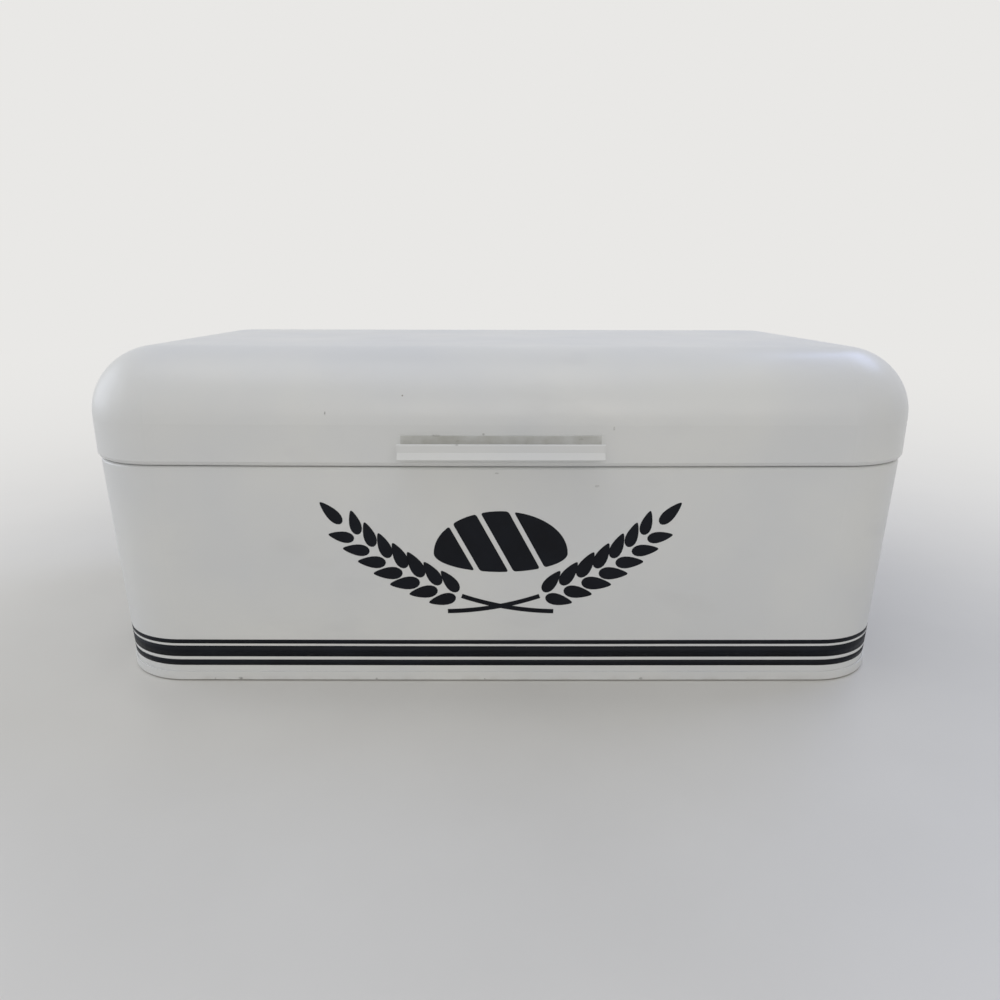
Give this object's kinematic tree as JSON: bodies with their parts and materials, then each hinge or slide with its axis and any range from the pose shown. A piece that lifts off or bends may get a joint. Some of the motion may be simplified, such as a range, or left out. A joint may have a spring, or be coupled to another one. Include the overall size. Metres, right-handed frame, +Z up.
{
  "type": "bread bin",
  "caption": "Sheet steel bread bin: a rounded deep drawn lid, hinged at the back, with a strip handle, on a tapered tub with a guiding neck and rubber feet.",
  "frame": {"origin": "on the resting surface, under the middle of the whole bin's box", "axes": "+X to the right seen from the front, +Y to the back where the hinges are, +Z up"},
  "size_m": [0.4276, 0.2414, 0.1734],
  "materials": {
    "white_paint": "satin white powder coat",
    "plated_steel": "bright zinc plate",
    "foot_rubber": "matt moulded rubber",
    "black_print": "satin black printed band"
  },
  "bodies": {
    "tub": {"tub_wall": "white_paint", "bottom_pan": "white_paint", "front_left_foot": "foot_rubber", "front_right_foot": "foot_rubber", "back_left_foot": "foot_rubber", "back_right_foot": "foot_rubber", "left_hinge_body_leaf": "white_paint", "right_hinge_body_leaf": "white_paint", "left_hinge_pin": "plated_steel", "right_hinge_pin": "plated_steel"},
    "lid": {"lid_shell": "white_paint", "handle": "white_paint", "handle_rivets": "plated_steel", "left_hinge_lid_leaf": "white_paint", "right_hinge_lid_leaf": "white_paint"}
  },
  "joints": [
    {"name": "lid_hinge", "type": "hinge", "parent": "tub", "child": "lid", "pos_m": [0, 0.11845, 0.117], "axis": [-1, 0, 0], "range_deg": [0, 100]}
  ]
}
